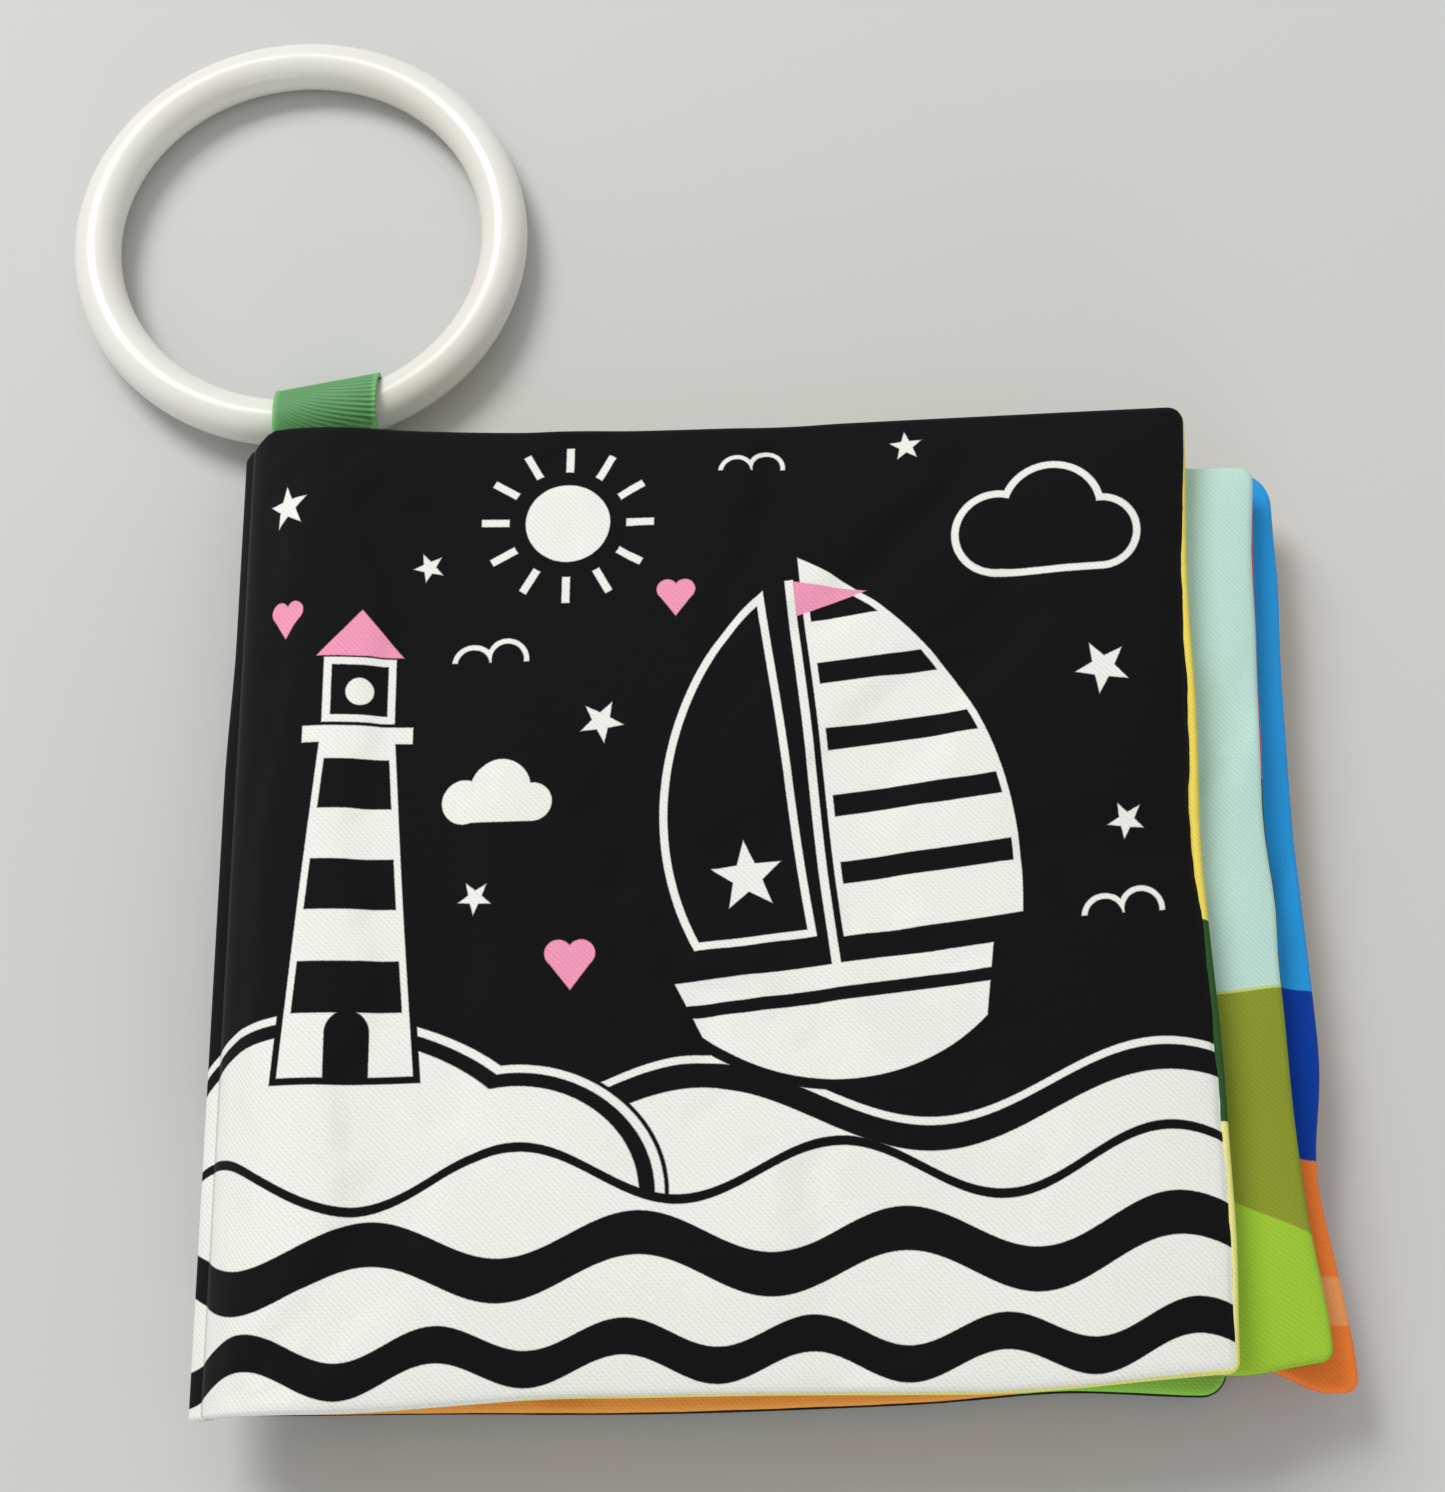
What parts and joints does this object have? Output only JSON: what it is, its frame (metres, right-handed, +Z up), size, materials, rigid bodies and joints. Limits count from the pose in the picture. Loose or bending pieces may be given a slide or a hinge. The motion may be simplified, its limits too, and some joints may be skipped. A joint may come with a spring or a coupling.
{
  "type": "cloth book",
  "caption": "Soft padded cloth book with leaves sewn down one spine, lying closed, with a plastic ring held in a ribbon loop at the head of its spine.",
  "frame": {"origin": "middle of the flat on the back cover's underside, where the closed book rests", "axes": "+X from the spine to the fore-edge, +Y up the page to the ring, +Z up through the pile of leaves"},
  "size_m": [0.1428, 0.1663, 0.0204],
  "materials": {
    "black_cover_cloth": "fine black twill with a soft sheen, printed off-white",
    "front_cover_page_cloth": "fine printed cloth, yellow and green fields",
    "leaf_2_front_page_cloth": "fine printed cloth, pale aqua over olive and lime fields",
    "leaf_2_back_page_cloth": "fine printed cloth, coral and dark green fields",
    "leaf_3_front_page_cloth": "fine printed cloth, blue over navy and orange fields",
    "leaf_3_back_page_cloth": "fine printed cloth, warm orange field",
    "back_cover_page_cloth": "fine printed cloth, orange and green fields",
    "batting": "white polyester wadding",
    "crinkle_film": "thin crackling film",
    "thread": "black polyester sewing thread",
    "ribbon": "green grosgrain ribbon, 12 mm wide",
    "ring_plastic": "moulded off-white plastic, glossy"
  },
  "bodies": {
    "back_cover": {"back_cover_outer_cloth": "black_cover_cloth", "back_cover_inner_cloth": "back_cover_page_cloth", "back_cover_batting": "batting", "back_cover_crinkle_film": "crinkle_film", "back_cover_edge_thread": "thread", "outer_spread_spine_fold": "black_cover_cloth", "inner_spread_spine_fold": "leaf_2_front_page_cloth", "spine_needle_thread": "thread", "spine_bobbin_thread": "thread", "ribbon_loop": "ribbon"},
    "leaf_3": {"leaf_3_back_cloth": "leaf_3_back_page_cloth", "leaf_3_front_cloth": "leaf_3_front_page_cloth", "leaf_3_batting": "batting", "leaf_3_crinkle_film": "crinkle_film", "leaf_3_edge_thread": "thread"},
    "leaf_2": {"leaf_2_back_cloth": "leaf_2_back_page_cloth", "leaf_2_front_cloth": "leaf_2_front_page_cloth", "leaf_2_batting": "batting", "leaf_2_crinkle_film": "crinkle_film", "leaf_2_edge_thread": "thread"},
    "front_cover": {"front_cover_inner_cloth": "front_cover_page_cloth", "front_cover_outer_cloth": "black_cover_cloth", "front_cover_batting": "batting", "front_cover_crinkle_film": "crinkle_film", "front_cover_edge_thread": "thread"},
    "ring": {"ring": "ring_plastic"}
  },
  "joints": [
    {"name": "leaf_3_turn", "type": "hinge", "parent": "back_cover", "child": "leaf_3", "pos_m": [-0.0535, 0, 0.0102], "axis": [0, -1, 0], "range_deg": [0, 180]},
    {"name": "leaf_2_turn", "type": "hinge", "parent": "leaf_3", "child": "leaf_2", "pos_m": [-0.0535, 0, 0.0102], "axis": [0, -1, 0], "range_deg": [0, 180]},
    {"name": "front_cover_turn", "type": "hinge", "parent": "leaf_2", "child": "front_cover", "pos_m": [-0.0535, 0, 0.0102], "axis": [0, -1, 0], "range_deg": [0, 180]},
    {"name": "ring_flop", "type": "hinge", "parent": "back_cover", "child": "ring", "pos_m": [-0.0462, 0.05956, 0.00413], "axis": [0.9822, 0.188, 0], "range_deg": [0, 95]}
  ]
}
